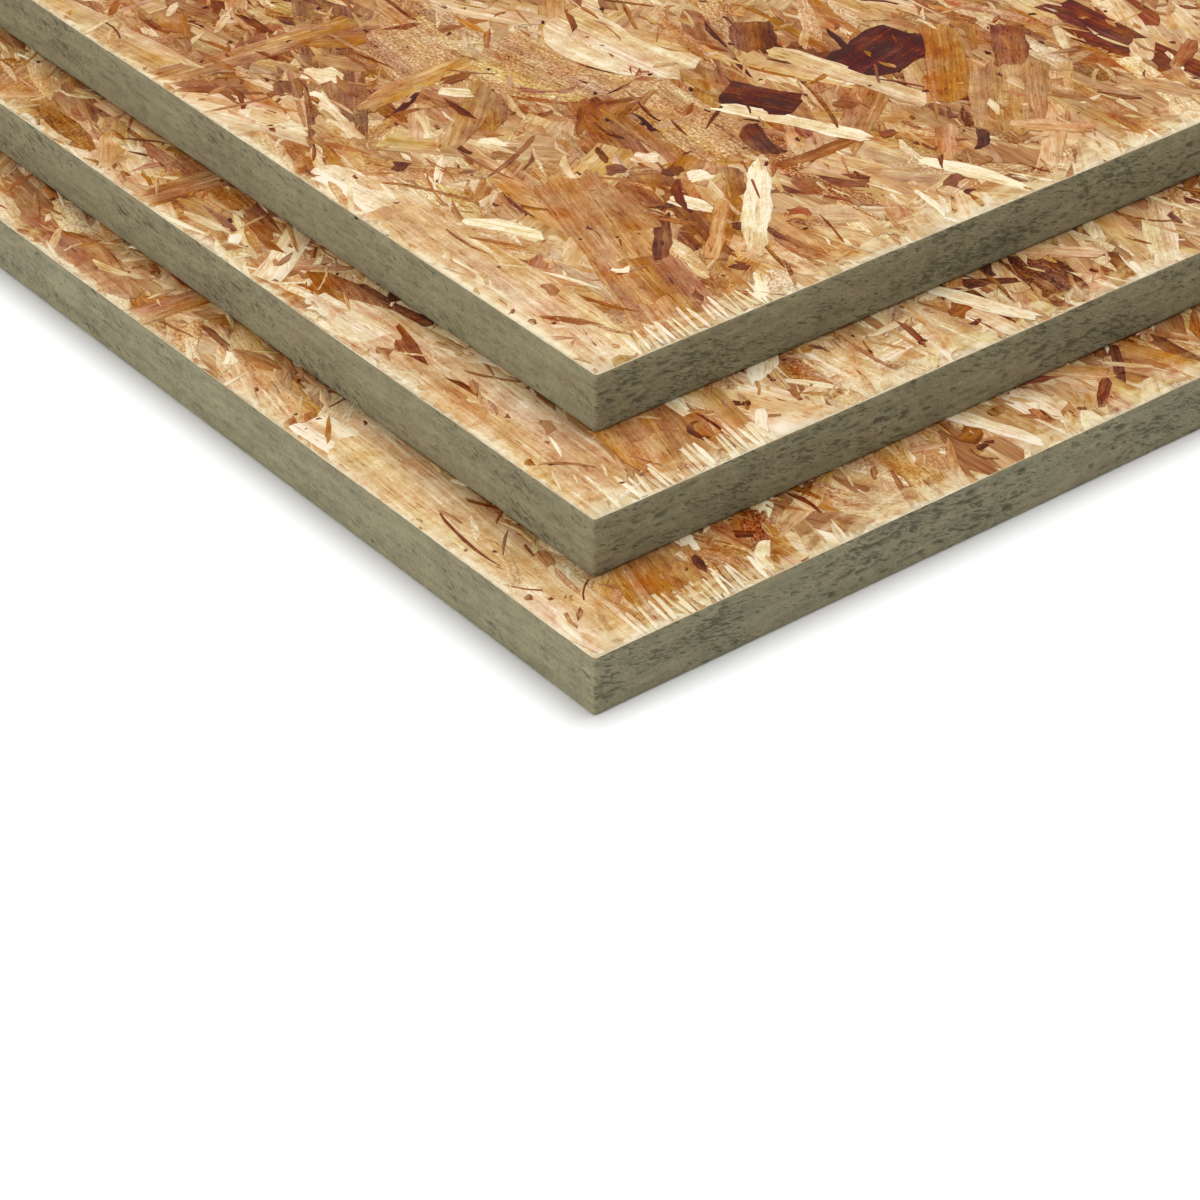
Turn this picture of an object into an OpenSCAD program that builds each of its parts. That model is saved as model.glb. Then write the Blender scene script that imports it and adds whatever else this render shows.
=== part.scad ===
// Three full sheets of oriented strand board (OSB), piled flat on each other.
// The pile isn't squared up: each lower sheet stands out a little past the one
// above it, along its length and across its width, so one corner goes down in steps.
// Frame: +X along the sheets, +Y across them, +Z up. The origin is the middle of
// the pile's outer box, at floor level.

/* [Sheet] */
// Length of one sheet, along X
sheet_length = 2440; // [1220:10:3660]
// Width of one sheet, along Y
sheet_width = 1220; // [600:10:1250]
// Thickness of one sheet
sheet_thickness = 18; // [6:0.5:32]
// Radius of the four upright corners, worn by handling
corner_radius = 2; // [0.5:0.5:10]

/* [Stepping of the pile] */
// How far the middle sheet stands out past the top sheet at the +X end
middle_step_length = 32; // [1:1:120]
// How far the middle sheet stands out past the top sheet on the -Y side
middle_step_width = 26; // [1:1:120]
// How far the bottom sheet stands out past the middle sheet at the +X end
bottom_step_length = 28; // [1:1:120]
// How far the bottom sheet stands out past the middle sheet on the -Y side
bottom_step_width = 22; // [1:1:120]

/* [Hidden] */
$fn = 64;

// Wood face of a strand board
wood_color = [0.78, 0.60, 0.38];

// Outer size of the whole pile, over its steps
pile_length = sheet_length + middle_step_length + bottom_step_length;
pile_width = sheet_width + middle_step_width + bottom_step_width;

// Near corner of each sheet, the one with the largest X and the smallest Y
bottom_corner = [pile_length / 2, -pile_width / 2];
middle_corner = bottom_corner + [-bottom_step_length, bottom_step_width];
top_corner = middle_corner + [-middle_step_length, middle_step_width];

// Outline of one sheet with its near corner at the origin
module sheet_outline() {
    flat_length = sheet_length - 2 * corner_radius;
    flat_width = sheet_width - 2 * corner_radius;
    translate([-sheet_length + corner_radius, 0])
        square([flat_length, sheet_width]);
    translate([-sheet_length, corner_radius])
        square([sheet_length, flat_width]);
    for (along = [-sheet_length + corner_radius, -corner_radius])
        for (across = [corner_radius, sheet_width - corner_radius])
            translate([along, across])
                circle(r = corner_radius);
}

// One sheet: pressed as one piece, so it is one solid
module sheet(near_corner, place_in_pile) {
    translate([near_corner.x, near_corner.y, place_in_pile * sheet_thickness])
        linear_extrude(height = sheet_thickness)
            sheet_outline();
}

module bottom_panel() {
    color(wood_color)
        sheet(bottom_corner, 0);
}

module middle_panel() {
    color(wood_color)
        sheet(middle_corner, 1);
}

module top_panel() {
    color(wood_color)
        sheet(top_corner, 2);
}

bottom_panel();
middle_panel();
top_panel();
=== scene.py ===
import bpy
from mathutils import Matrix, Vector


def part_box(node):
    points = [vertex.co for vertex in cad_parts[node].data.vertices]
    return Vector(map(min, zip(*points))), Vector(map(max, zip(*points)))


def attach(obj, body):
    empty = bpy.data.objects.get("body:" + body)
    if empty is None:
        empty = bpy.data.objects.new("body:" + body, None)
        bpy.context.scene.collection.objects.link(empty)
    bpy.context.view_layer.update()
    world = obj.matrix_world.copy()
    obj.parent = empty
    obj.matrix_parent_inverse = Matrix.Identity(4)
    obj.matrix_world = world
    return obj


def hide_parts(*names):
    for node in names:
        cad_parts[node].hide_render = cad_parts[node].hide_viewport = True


bl_info = {
    "name": "Pile of Strand Boards",
    "version": (1, 0, 0),
    "blender": (4, 5, 0),
    "location": "View3D > Sidebar > Strand Boards",
    "description": "Gives a stepped pile of strand boards its pressed strands, sealed edges and stage",
    "category": "Object",
}

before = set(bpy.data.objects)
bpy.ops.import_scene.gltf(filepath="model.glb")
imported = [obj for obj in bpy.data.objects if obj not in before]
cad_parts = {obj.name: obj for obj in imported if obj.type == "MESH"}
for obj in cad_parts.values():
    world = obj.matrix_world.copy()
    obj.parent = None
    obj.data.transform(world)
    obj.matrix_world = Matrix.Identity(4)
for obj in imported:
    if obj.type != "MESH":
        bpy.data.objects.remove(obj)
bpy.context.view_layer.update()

import math

import bmesh
import bpy
import numpy as np
from bpy.props import FloatProperty, FloatVectorProperty, IntProperty, PointerProperty
from mathutils import Vector, noise

MM = 0.001
# A distance that is too small to matter.
BARELY = 1e-6
PANELS = ("bottom_panel", "middle_panel", "top_panel")
TOP_PANEL = PANELS[-1]
BODY = "root"
# The map that the strands' grain follows, and the one made for baking the materials.
GRAIN_MAP = "grain"
BAKE_MAP = "OFBake"
# What share of a board's bake map its walls take, and from how many corners on a face
# is one of the board's two large ones.
WALLS_SHARE = 0.4
LARGE_FACE = 100

# The near corner of a panel is the one with the largest X and the smallest Y.
NEAR_REACH = 0.34
# How wide the band is that can show on a lower panel, or along the near long side.
LEDGE_REACH = 0.05
# How far strands are scattered past the outline, before they are sawn to it.
EDGE_OVERLAP = 0.01
# The rest of the top face is made in this many strips.
FAR_STRIPS = 4
CORNER_RADIUS = 1.3 * MM

# How far below the panel's face the pressed fines lie, which the strands cover.
FINES_DEPTH = 0.5 * MM
# The bare wood line along each top arris: how far it lies below the face, how wide it
# is, and how far in from the panel's outline the strands are sawn off against it.
ARRIS_DROP = 0.03 * MM
ARRIS_WIDTH = 0.40 * MM
SAW_INSET = 0.30 * MM
# How deep a strand is set into the panel, so that its underside never shows.
STRAND_DEPTH = 0.8 * MM
# Width of the worn rim round a strand, at most this share of its width, and its drop.
RIM_WIDTH = 0.28 * MM
RIM_SHARE = 0.10
RIM_DROP = 0.14 * MM
# A face whose normal rises more than this belongs to a strand's top; one that falls
# more than this is turned over.
RISING = 0.3
# How often a strand may be torn anew before giving up.
MOST_TRIES = 200
# How slanting a broken end is and how much the sides swing, in strand widths.
END_LEAN = 0.6
SIDE_SWING = (0.03, 0.12)
# Bends from the press, in radians a metre along and across a strand, and their height.
LONG_BEND = 160
SHORT_BEND = 430
CROSS_BEND = 420
CROSS_SLANT = 90
BEND_HEIGHT = 0.035 * MM
# Over what depth a strand that stands up is pressed flat.
PRESS_SOFTNESS = 0.06 * MM
# How many planes saw the strands to the panel's outline.
SAW_CUTS = 16
# What share of its length times its width a strand covers, torn as it is.
TORN_SHARE = 0.85
# Length and width that small bits are counted by, and how many specks and cracks lie on
# a square metre.
BIT_COVER = (7 * MM, 2 * MM)
SPECKS_PER_SQUARE_METRE = 2600
CRACKS_PER_SQUARE_METRE = 600

# The panel's walls: rows of points, their spacing by the near corner and elsewhere, and
# how far the long arrises are eased.
WALL_ROWS = 24
FINE_STEP = 0.55 * MM
COARSE_STEP = 12 * MM
FOOT_EASE = 0.5 * MM
EASED_ROW = 0.08 * MM
TOP_EASE = 0.06 * MM
# How rough the sawn wall is: how far it lies behind the outline, and how much the saw's
# wave, the layers of strands and the grain move it.
SAWN_BACK = 0.16 * MM
SAW_WAVE = 0.10 * MM
LAYER_WAVE = 0.10 * MM
GRAIN_WAVE = 0.06 * MM
# Pits start where their noise passes this, lean along the wall as they rise, are
# shallower on the long sides than on the ends, and fade out by the arrises.
PIT_START = 0.26
PIT_LEAN = 0.4
LONG_SIDE_PITS = 0.45
PIT_MARGIN = 0.8 * MM
PIT_FADE = 2 * MM

# The torn comb at the end, by the near corner, in mm: from where to where it runs in from
# the long side, how far its fibres lie from the end, and the gaps between them.
COMB_FROM = 17.0
COMB_TO = 64.0
COMB_BACK = (4.5, 7.5)
COMB_GAP = (1.2, 2.8)

# Where the two large lights stand, and how wide each looks from the pile.
KEY_PLACE = Vector((-1.5, 2.8, 10.0))
FILL_PLACE = Vector((-2.0, -10.0, 2.2))
LIGHT_ANGLE = math.radians(40)
# How high the room's bright walls reach, as the upward part of a direction, and from
# where on all is ceiling.
WALL_TOP = 0.25
CEILING_START = 0.60
# Where the camera aims, from the top panel's near top corner.
AIM_OFFSET = Vector((27, -20, -48)) * MM

# Strands that stand out on the face by the near corner. Each row says how far its
# middle lies from the end and from the long side, its length and width, all in mm,
# its turn in degrees from the panel's length, its tone from 0, bark, to 1, cream,
# and its warmth from 0, grey brown, to 1, orange. Later rows lie on earlier ones.
SIGNATURE_STRANDS = (
    (65, 11, 140, 24, -2, 0.75, 0.55),
    (175, 74, 52, 26, -8, 0.59, 0.30),
    (145, 98, 56, 26, 8, 0.60, 0.30),
    (145, 124, 60, 24, 6, 0.80, 0.40),
    (95, 108, 60, 22, -4, 0.60, 0.40),
    (48, 192, 52, 24, -40, 0.52, 0.20),
    (48, 46, 98, 23, -18, 0.56, 0.65),
    (23, 41, 46, 22, -15, 0.50, 0.70),
    (209, 35, 78, 10, 84, 0.50, 0.50),
    (203, 62, 30, 15, 60, 0.47, 0.50),
    (186, 51, 22, 9, 30, 0.48, 0.40),
    (161, 60, 46, 9, 96, 0.60, 0.80),
    (183, 42, 15, 9, 30, 0.86, 0.40),
    (160, 30, 34, 6, -12, 0.80, 0.40),
    (184, 28, 11, 5, -20, 0.28, 0.10),
    (175, 27, 36, 1.6, -27, 0.40, 0.30),
    (190, 13, 19, 2.4, -4, 0.34, 0.40),
    (157, 72, 12, 5, 84, 0.27, 0.40),
    (150, 66, 13, 5, 40, 0.94, 0.40),
    (177, 10, 9, 4, -40, 0.95, 0.40),
    (138, 119, 9, 4, -46, 0.20, 0.40),
    (134, 88, 19, 4, 50, 0.44, 0.50),
    (137, 4, 10, 4, -6, 0.32, 0.50),
    (122, 9, 34, 12, 4, 0.92, 0.40),
    (117, 106, 32, 11, -66, 0.38, 0.50),
    (94, 92, 46, 6, -7, 0.46, 0.50),
    (113, 84, 20, 3, -42, 0.22, 0.40),
    (75, 92, 12, 9, -60, 0.40, 0.50),
    (73, 86, 6, 6, 10, 0.10, 0.20),
    (84, 85, 10, 6, 50, 0.90, 0.40),
    (66, 90, 9, 5, 80, 0.88, 0.40),
    (58, 95, 20, 6, -32, 0.32, 0.20),
    (55, 78, 16, 6, 20, 0.95, 0.40),
    (84, 74, 8, 5, 60, 0.20, 0.30),
    (62, 62, 26, 10, -12, 0.52, 0.60),
    (46, 60, 28, 5, -41, 0.16, 0.20),
    (40, 75, 38, 5, -46, 0.66, 1.00),
    (43, 92, 54, 8, -41, 0.90, 0.30),
    (37, 81, 6, 5, -40, 0.06, 0.20),
    (32, 98, 9, 7, 50, 0.46, 1.00),
    (43, 110, 14, 5, -6, 0.44, 0.50),
    (56, 126, 34, 5, 88, 0.36, 0.50),
    (28, 52, 15, 5, -8, 0.93, 0.40),
    (17, 48, 11, 3, -20, 0.13, 0.20),
    (39, 40, 7, 3, 62, 0.94, 0.40),
    (9, 64, 16, 4, -36, 0.97, 0.40),
    (20, 66, 7, 3, 50, 0.16, 0.30),
    (77, 28, 28, 6, 28, 0.93, 0.40),
    (72, 22, 18, 1.6, 31, 0.38, 0.40),
    (81, 42, 11, 1.8, 34, 0.16, 0.30),
    (108, 55, 30, 2, -66, 0.36, 0.40),
    (120, 47, 7, 2.4, 0, 0.14, 0.30),
    (123, 27, 8, 4, -58, 0.08, 0.20),
    (111, 55, 9, 7, 40, 0.44, 0.00),
    (118, 55, 12, 6, 30, 0.90, 0.40),
    (123, 79, 7, 2.4, 84, 0.14, 0.30),
    (43, 18, 9, 4, -14, 0.46, 0.20),
    (32, 4, 4, 2, -10, 0.14, 0.30),
    (28, 8, 2, 2, 0, 0.14, 0.30),
    (92, 181, 36, 22, 104, 0.02, 0.60),
    (88, 178, 17, 3.4, -4, 0.44, 0.50),
    (104, 162, 17, 9, 14, 0.22, 0.40),
    (123, 158, 22, 13, -36, 0.24, 0.40),
    (91, 134, 28, 16, 28, 0.04, 0.60),
    (72, 118, 22, 8, -18, 0.24, 0.20),
    (84, 164, 62, 9, 15, 0.78, 0.40),
    (83, 163, 6, 2, 14, 0.16, 0.30),
    (74, 132, 52, 7, 27, 0.94, 0.40),
    (75, 191, 58, 13, -39, 0.52, 0.90),
    (71, 214, 30, 10, -40, 0.27, 0.30),
    (37, 158, 24, 7, -42, 0.60, 1.00),
    (19, 152, 38, 6, 22, 0.93, 0.40),
    (26, 189, 28, 7, 45, 0.74, 1.00),
    (33, 168, 14, 4, -46, 0.03, 0.00),
    (73, 152, 9, 6, 10, 0.32, 0.30),
    (52, 149, 7, 4, 70, 0.18, 0.30),
    (19, 145, 10, 5, -70, 0.28, 0.40),
    (12, 144, 5, 2, -80, 0.12, 0.10),
    (23, 159, 5, 5, 0, 0.42, 0.40),
    (64, 175, 3, 3, 0, 0.12, 0.30),
    (34, 252, 22, 5, -60, 0.44, 0.80),
)

# Stains on the face by the near corner. Each row says how far its middle lies from the
# end and from the long side, its reach, all in mm, and how much darker or paler it is.
STAINS = (
    (185, 60, 42, -0.12),
    (140, 90, 30, -0.06),
    (100, 100, 34, -0.12),
    (105, 150, 34, -0.12),
    (95, 185, 26, -0.10),
    (70, 215, 26, -0.06),
    (45, 75, 26, -0.04),
    (20, 45, 22, -0.06),
    (215, 60, 26, -0.10),
    (60, 15, 40, 0.06),
    (140, 12, 40, 0.06),
    (10, 120, 30, 0.05),
)


def panel_box(node):
    """Lowest and highest corner of a panel, as the frame has them."""
    low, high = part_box(node)
    return Vector(low), Vector(high)


# ---------------------------------------------------------------- settings


class BoardFaceSettings(bpy.types.PropertyGroup):
    """Sizes and colours of the pressed strands."""

    seed: IntProperty(name="Seed", description="Picks how the strands fall", default=7)
    long_length: FloatProperty(
        name="Long strand", description="Usual length of a long strand", default=0.085, unit="LENGTH"
    )
    long_width: FloatProperty(
        name="Long strand width", description="Usual width of a long strand", default=0.015, unit="LENGTH"
    )
    short_length: FloatProperty(
        name="Short strand", description="Usual length of a short strand", default=0.036, unit="LENGTH"
    )
    short_width: FloatProperty(
        name="Short strand width", description="Usual width of a short strand", default=0.006, unit="LENGTH"
    )
    sliver_length: FloatProperty(
        name="Sliver", description="Usual length of a sliver", default=0.013, unit="LENGTH"
    )
    sliver_width: FloatProperty(
        name="Sliver width", description="Usual width of a sliver", default=0.0018, unit="LENGTH"
    )
    bark_colour: FloatVectorProperty(
        name="Bark", description="Darkest specks", subtype="COLOR", default=(0.050, 0.009, 0.0045)
    )
    heartwood_colour: FloatVectorProperty(
        name="Heartwood", description="Dark red-brown strands", subtype="COLOR", default=(0.137, 0.026, 0.008)
    )
    russet_colour: FloatVectorProperty(
        name="Russet", description="Orange-brown strands", subtype="COLOR", default=(0.260, 0.083, 0.023)
    )
    tan_colour: FloatVectorProperty(
        name="Tan", description="Most strands", subtype="COLOR", default=(0.398, 0.187, 0.066)
    )
    straw_colour: FloatVectorProperty(
        name="Straw", description="Light strands", subtype="COLOR", default=(0.566, 0.348, 0.158)
    )
    sapwood_colour: FloatVectorProperty(
        name="Sapwood", description="Pale strands", subtype="COLOR", default=(0.735, 0.568, 0.340)
    )
    cream_colour: FloatVectorProperty(
        name="Cream", description="Palest fibres", subtype="COLOR", default=(0.850, 0.745, 0.545)
    )
    # Colour of the painted shade and dark gaps round each strand's rim and down its sides.
    rim_gap_shade_colour: FloatVectorProperty(
        name="Worn rim", description="Line round a strand", subtype="COLOR", default=(0.15, 0.038, 0.013)
    )
    sawn_colour: FloatVectorProperty(
        name="Sawn fibres", description="Bare fibres at the arris", subtype="COLOR",
        default=(0.80, 0.71, 0.51),
    )


class BoardEdgeSettings(bpy.types.PropertyGroup):
    """Colour and depth of the sealed edges."""

    paint_colour: FloatVectorProperty(
        name="Edge seal", description="Thin matte paint on the edges", subtype="COLOR",
        default=(0.222, 0.201, 0.119),
    )
    stain_colour: FloatVectorProperty(
        name="Wood showing through", description="Where the paint is thin", subtype="COLOR",
        default=(0.215, 0.159, 0.095),
    )
    # Colour of the painted shade in the edge's pits and flecks.
    pit_shade_colour: FloatVectorProperty(
        name="Pits", description="Deep pits between strand ends", subtype="COLOR",
        default=(0.056, 0.051, 0.029),
    )
    pit_depth: FloatProperty(
        name="Pit depth", description="Depth of the deepest pits", default=0.0006, unit="LENGTH"
    )


class StageSettings(bpy.types.PropertyGroup):
    """Floor, light and camera."""

    floor_colour: FloatVectorProperty(
        name="Floor", description="Plain pale floor", subtype="COLOR", default=(0.96, 0.96, 0.96)
    )
    floor_size: FloatProperty(
        name="Floor size", description="Length of the floor's side", default=90.0, unit="LENGTH"
    )
    key_strength: FloatProperty(name="Key light", description="Soft light from overhead", default=2.25)
    fill_strength: FloatProperty(
        name="Fill light", description="Low soft light on the long side", default=1.3
    )
    wall_strength: FloatProperty(
        name="Room walls", description="Light from low down, all round", default=1.05
    )
    ceiling_strength: FloatProperty(name="Ceiling", description="Even light from above", default=0.32)
    lens: FloatProperty(name="Lens", description="Focal length in mm", default=120.0)
    azimuth: FloatProperty(
        name="Azimuth", description="Camera's turn round the pile", subtype="ANGLE",
        default=math.radians(51.55),
    )
    elevation: FloatProperty(
        name="Elevation", description="Camera's height angle", subtype="ANGLE",
        default=math.radians(35.0),
    )
    distance: FloatProperty(
        name="Distance", description="Camera to the stepped corner", default=1.046, unit="LENGTH"
    )


# ---------------------------------------------------------------- strands


class Torn:
    """How a kind of strand breaks: narrowing ends, bent and jagged sides, ragged ends."""

    def __init__(self, narrowest, widest, shoulder, bow, ragged, jag):
        self.narrowest = narrowest
        self.widest = widest
        self.shoulder = shoulder
        self.bow = bow
        self.ragged = ragged
        self.jag = jag


BROAD = Torn(narrowest=0.50, widest=1.05, shoulder=(3, 8), bow=0.25, ragged=0.40, jag=0.02)
TAPERED = Torn(narrowest=0.10, widest=0.90, shoulder=(1.3, 5), bow=0.45, ragged=0.50, jag=0.06)
SPLINTER = Torn(narrowest=0.08, widest=0.60, shoulder=(1.5, 5), bow=0.70, ragged=0.50, jag=0.06)
CHIP = Torn(narrowest=0.15, widest=1.10, shoulder=(1.5, 9), bow=0.35, ragged=0.60, jag=0.14)
CRACK = Torn(narrowest=0.20, widest=0.60, shoulder=(2, 5), bow=0.80, ragged=0.40, jag=0.08)
COMB = Torn(narrowest=0.30, widest=0.90, shoulder=(3, 6), bow=0.08, ragged=0.50, jag=0.03)


def put_in_order(shape):
    """Sorts edges and faces by their points, because extruding adds them in no fixed order."""
    shape.verts.index_update()
    for parts in (shape.edges, shape.faces):
        ordered = sorted(parts, key=lambda part: sorted(vert.index for vert in part.verts))
        rank = {part: place for place, part in enumerate(ordered)}
        parts.sort(key=rank.get)


class StrandShape:
    """One strand's mesh, at its real size, lying along X with its face at Z = 0."""

    def __init__(self, chance, length, width, along, across, torn, rim=True):
        shape = bmesh.new()
        self.layer = shape.verts.layers.float.new("rim")
        bmesh.ops.create_grid(shape, x_segments=along, y_segments=across, size=0.5)
        self.cut_outline(shape, chance, length, width, along, torn)
        if rim:
            self.wear_rim(shape, min(RIM_WIDTH, width * RIM_SHARE))
        self.close_underside(shape)
        self.keep_arrays(shape)
        shape.free()

    def cut_outline(self, shape, chance, length, width, along, torn):
        """Long sides split along the grain; each end narrows and is broken off roughly."""
        narrow = chance.uniform(torn.narrowest, torn.widest, 2)
        shoulder = chance.uniform(*torn.shoulder, 2)
        lean = chance.normal(0, END_LEAN, 2) * width
        bow = chance.normal(0, torn.bow) * width
        wave = chance.uniform(0, math.tau)
        swing = chance.uniform(*SIDE_SWING)
        # An end is broken off less deeply than its row of faces is long.
        deepest = 0.6 * length / along
        for vert in shape.verts:
            end, side = vert.co.x * 2, vert.co.y
            which = int(end > 0)
            left = 1 - (1 - narrow[which]) * abs(end) ** shoulder[which]
            across = side * width * left * (1 + swing * math.sin(3 * end + wave))
            across += bow * (end * end - 0.5)
            inward = 0.0
            if abs(end) > 0.999:
                inward = torn.ragged * width * abs(chance.normal(0, 1))
                inward = min(max(inward + lean[which] * side, -deepest), deepest)
            elif vert.is_boundary:
                across += chance.normal(0, torn.jag) * width * left
            vert.co.x = end * length / 2 - math.copysign(inward, end)
            vert.co.y = across

    def wear_rim(self, shape, rim_width):
        """A narrow rim that drops off round the face."""
        bmesh.ops.inset_region(
            shape, faces=shape.faces[:], thickness=rim_width, depth=0.0,
            use_boundary=True, use_even_offset=False,
        )
        for vert in shape.verts:
            if vert.is_boundary:
                vert.co.z -= RIM_DROP
                # The rim is marked for the material, which paints shade along it.
                vert[self.layer] = 1.0

    def close_underside(self, shape):
        """Upright sides and a closed underside."""
        rim = [edge for edge in shape.edges if edge.is_boundary]
        grown = bmesh.ops.extrude_edge_only(shape, edges=rim)["geom"]
        low = [part for part in grown if isinstance(part, bmesh.types.BMVert)]
        bmesh.ops.translate(shape, verts=low, vec=(0, 0, -STRAND_DEPTH))
        for vert in low:
            # The sides are marked as rim too, so the material paints them in shade.
            vert[self.layer] = 1.0
        bmesh.ops.holes_fill(shape, edges=[edge for edge in shape.edges if edge.is_boundary])
        bmesh.ops.recalc_face_normals(shape, faces=shape.faces[:])
        put_in_order(shape)

    def keep_arrays(self, shape):
        """Keeps the shape as arrays, the faces of its top last."""
        shape.verts.index_update()
        faces = sorted(shape.faces, key=lambda face: face.normal.z > RISING)
        self.places = np.array([vert.co[:] for vert in shape.verts], np.float64)
        self.rim = np.array([vert[self.layer] for vert in shape.verts], np.float32)
        self.corners = np.array([v.index for face in faces for v in face.verts], np.int64)
        self.face_sizes = np.array([len(face.verts) for face in faces], np.int64)
        self.on_top = np.array([face.normal.z > RISING for face in faces], np.int64)
        self.grain = self.places[self.corners, :2]
        self.folded = any(looks_down(corners) for corners in shape.calc_loop_triangles())


def looks_down(corners):
    """Whether a triangle of a strand's face or sides is turned over."""
    first, second, third = (corner.vert.co for corner in corners)
    if max(first.z, second.z, third.z) < -STRAND_DEPTH / 2:
        return False
    return (second - first).cross(third - first).normalized().z < -RISING


def torn_strand(chance, length, width, along, across, torn, rim=True):
    """A strand with no folded face; it is torn anew until it has none."""
    for _ in range(MOST_TRIES):
        shape = StrandShape(chance, length, width, along, across, torn, rim)
        if not shape.folded:
            return shape
    raise RuntimeError("a strand keeps folding over itself")


def strand_shapes(chance, count, length, width, spread, along, across, torn, rim=True):
    """A family of like strands, each with its own size and broken ends."""
    shapes = []
    for _ in range(count):
        own_length = length * chance.uniform(1 - spread, 1 + spread)
        own_width = width * chance.uniform(1 - spread, 1 + spread) * math.sqrt(own_length / length)
        shapes.append(torn_strand(chance, own_length, own_width, along, across, torn, rim))
    return shapes


def pressed_wave(chance, local):
    """Gentle bends from the press, so that neighbouring strands dip into each other."""
    phase = chance.uniform(0, math.tau, 3)
    x, y = local[:, 0], local[:, 1]
    along = np.sin(x * LONG_BEND + phase[0]) + 0.6 * np.sin(x * SHORT_BEND + phase[1])
    across = np.sin(y * CROSS_BEND + x * CROSS_SLANT + phase[2])
    return (along + across) * BEND_HEIGHT


def pressed_flat(height):
    """Keeps every point just below the face, without laying any two in one plane."""
    return -PRESS_SOFTNESS * np.log1p(np.exp(-height / PRESS_SOFTNESS))


class StrandLayer:
    """Strands laid on one panel, joined into one mesh."""

    def __init__(self, low, high):
        self.low = low
        self.high = high
        self.strands = []

    def lay(self, shape, x, y, level, turn, tone, warmth, speckle=0.0, tilt=(0.0, 0.0), scale=1.0):
        """Adds a strand: where its middle lies, its height over the face, its turn and looks."""
        self.strands.append((level, shape, x, y, turn, tone, warmth, speckle, tilt, scale))

    def mesh(self, name, chance):
        """All strands as one mesh, the lowest first, with what the material reads."""
        places, corners, sizes, grain, facts, order = [], [], [], [], [], []
        start = 0
        for number, strand in enumerate(sorted(self.strands, key=lambda s: s[0])):
            level, shape, x, y, turn, tone, warmth, speckle, tilt, scale = strand
            c, s = math.cos(turn), math.sin(turn)
            local = shape.places * (scale, scale, 1.0)
            world = np.empty_like(local)
            world[:, 0] = x + c * local[:, 0] - s * local[:, 1]
            world[:, 1] = y + s * local[:, 0] + c * local[:, 1]
            world[:, 2] = self.high.z + level + local[:, 2]
            world[:, 2] += local[:, 0] * tilt[0] + local[:, 1] * tilt[1]
            world[:, 2] += pressed_wave(chance, local)
            places.append(world)
            corners.append(shape.corners + start)
            sizes.append(shape.face_sizes)
            grain.append(shape.grain * scale + chance.uniform(0, 20, 2))
            own = np.repeat([(tone, warmth, speckle, 0.0)], len(local), axis=0)
            own[:, 3] = shape.rim
            facts.append(own)
            order.append(2 * number + shape.on_top)
            start += len(local)
        places = np.concatenate(places)
        places[:, 2] = self.high.z + pressed_flat(places[:, 2] - self.high.z)
        corners = np.concatenate(corners)
        sizes = np.concatenate(sizes)
        mesh = bpy.data.meshes.new(name)
        mesh.vertices.add(len(places))
        mesh.vertices.foreach_set("co", places.astype(np.float32).ravel())
        mesh.loops.add(len(corners))
        mesh.loops.foreach_set("vertex_index", corners.astype(np.int32))
        mesh.polygons.add(len(sizes))
        mesh.polygons.foreach_set("loop_start", (np.cumsum(sizes) - sizes).astype(np.int32))
        mesh.update(calc_edges=True)
        lay_map(mesh, GRAIN_MAP, np.concatenate(grain))
        facts = np.concatenate(facts)
        for column, fact in enumerate(("tone", "warmth", "speckle", "rim")):
            note(mesh, fact, "FLOAT", "POINT", facts[:, column])
        note(mesh, "order", "INT", "FACE", np.concatenate(order))
        return mesh


def lay_map(mesh, name, uv):
    """Writes a UV map."""
    mesh.uv_layers.new(name=name).data.foreach_set("uv", uv.astype(np.float32).ravel())


def note(mesh, name, kind, domain, values):
    """Writes an attribute that the materials or the next steps read."""
    field = "vector" if kind == "FLOAT_VECTOR" else "value"
    values = values.astype(np.int32 if kind == "INT" else np.float32)
    mesh.attributes.new(name, kind, domain).data.foreach_set(field, values.ravel())


def read(items, field, kind=np.float32, width=1):
    """One field of many vertices, corners, faces or attribute values, as an array."""
    values = np.empty(len(items) * width, kind)
    items.foreach_get(field, values)
    return values if width == 1 else values.reshape(-1, width)


def saw_planes(low, high):
    """Planes that cut a face just inside the panel's outline, with its rounded corners."""
    middle = (low + high) / 2
    reach = (high - low) / 2 - Vector((CORNER_RADIUS, CORNER_RADIUS, 0))
    planes = []
    for step in range(SAW_CUTS):
        angle = step * math.tau / SAW_CUTS
        out = Vector((math.cos(angle), math.sin(angle), 0))
        corner = Vector((math.copysign(reach.x, out.x), math.copysign(reach.y, out.y), 0))
        planes.append((middle + corner + out * (CORNER_RADIUS - SAW_INSET), out))
    return planes


def saw_to_size(mesh, low, high):
    """Cuts strands off just inside the panel's sides, closes each cut and restores the order."""
    board = bmesh.new()
    board.from_mesh(mesh)
    for place, out in saw_planes(low, high):
        beyond = [v for v in board.verts if (v.co - place).dot(out) > -BARELY]
        faces = dict.fromkeys(face for vert in beyond for face in vert.link_faces)
        edges = dict.fromkeys(edge for face in faces for edge in face.edges)
        verts = dict.fromkeys(vert for face in faces for vert in face.verts)
        if not faces:
            continue
        cut = bmesh.ops.bisect_plane(
            board, geom=[*verts, *edges, *faces], dist=BARELY / 10,
            plane_co=place, plane_no=out, clear_outer=True,
        )["geom_cut"]
        open_edges = [e for e in cut if isinstance(e, bmesh.types.BMEdge) and e.is_boundary]
        bmesh.ops.holes_fill(board, edges=open_edges)
    order = board.faces.layers.int["order"]
    board.faces.sort(key=lambda face: face[order])
    board.to_mesh(mesh)
    board.free()
    mesh.attributes.remove(mesh.attributes["order"])


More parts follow.
